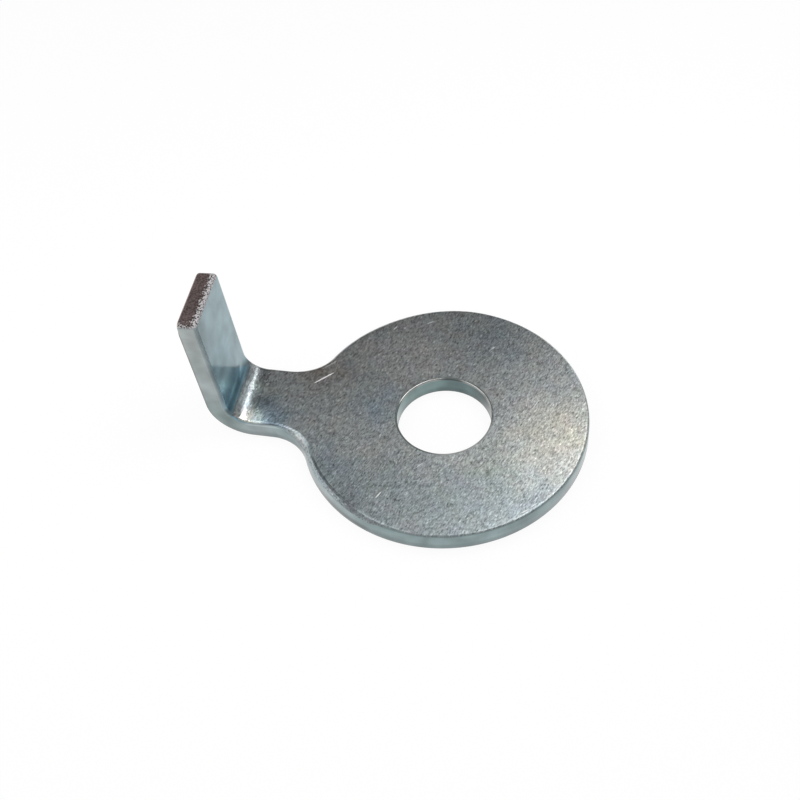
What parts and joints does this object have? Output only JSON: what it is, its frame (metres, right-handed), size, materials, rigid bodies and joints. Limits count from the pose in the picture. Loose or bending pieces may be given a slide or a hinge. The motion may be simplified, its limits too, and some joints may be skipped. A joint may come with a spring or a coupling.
{
  "type": "tab lock washer",
  "caption": "Flat round steel washer with a bolt hole and a narrow tab bent up nearly square, which locks against an edge so that the washer can't turn.",
  "frame": {"origin": "centre of the bolt hole, on the underside of the disc", "axes": "+Z along the hole's axis, up to the side that the tab is bent to; -X from the hole to the tab"},
  "size_m": [0.0429, 0.032, 0.0177],
  "materials": {
    "zinc_plate": "satin zinc plate with a pale blue passivation"
  },
  "bodies": {
    "root": {"tab_washer": "zinc_plate"}
  },
  "joints": []
}
